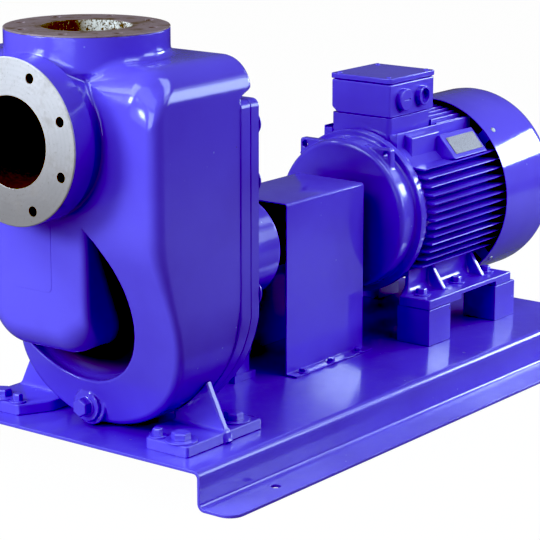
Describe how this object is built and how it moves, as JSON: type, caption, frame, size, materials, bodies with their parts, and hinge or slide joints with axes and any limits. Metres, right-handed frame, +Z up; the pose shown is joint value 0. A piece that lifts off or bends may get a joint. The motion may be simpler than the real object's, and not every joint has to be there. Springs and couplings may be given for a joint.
{
  "type": "self-priming pump set",
  "caption": "Self-priming pump and electric motor on a folded base plate, with side suction flange, top discharge flange, coupling guard and terminal box.",
  "frame": {"origin": "centre of the whole set's box at floor level, on the underside of the base plate's flanges", "axes": "+X along the shaft from the suction flange to the fan cowl, +Z up, the side with the cable entry faces -Y"},
  "size_m": [1.465, 0.752, 0.787],
  "materials": {
    "blue_paint": "gloss enamel over cast iron and sheet steel",
    "bare_steel": "turned steel",
    "dark_iron": "oiled cast iron",
    "coupling_rubber": "matt rubber",
    "fan_plastic": "moulded plastic",
    "plate_metal": "bare plate without writing"
  },
  "bodies": {
    "root": {"base_plate": "blue_paint", "pump_casing": "blue_paint", "rear_cover": "blue_paint", "drain_plug": "blue_paint", "pump_foot_near": "blue_paint", "pump_foot_far": "blue_paint", "bearing_bracket": "blue_paint", "bracket_leg": "blue_paint", "pump_shaft": "bare_steel", "pump_hub": "dark_iron", "coupling_spider": "coupling_rubber", "motor_hub": "dark_iron", "motor_shaft": "bare_steel", "coupling_guard": "blue_paint", "motor_shield_front": "blue_paint", "motor_shield_rear": "blue_paint", "motor_frame": "blue_paint", "motor_foot_near": "blue_paint", "motor_foot_far": "blue_paint", "pedestal_1": "blue_paint", "pedestal_2": "blue_paint", "pedestal_3": "blue_paint", "pedestal_4": "blue_paint", "terminal_neck": "blue_paint", "terminal_box": "blue_paint", "terminal_lid": "blue_paint", "blank_plug": "blue_paint", "cable_entry": "blue_paint", "rating_plate": "plate_metal", "fan": "fan_plastic", "fan_cowl": "blue_paint", "cowl_grille": "blue_paint"}
  },
  "joints": []
}
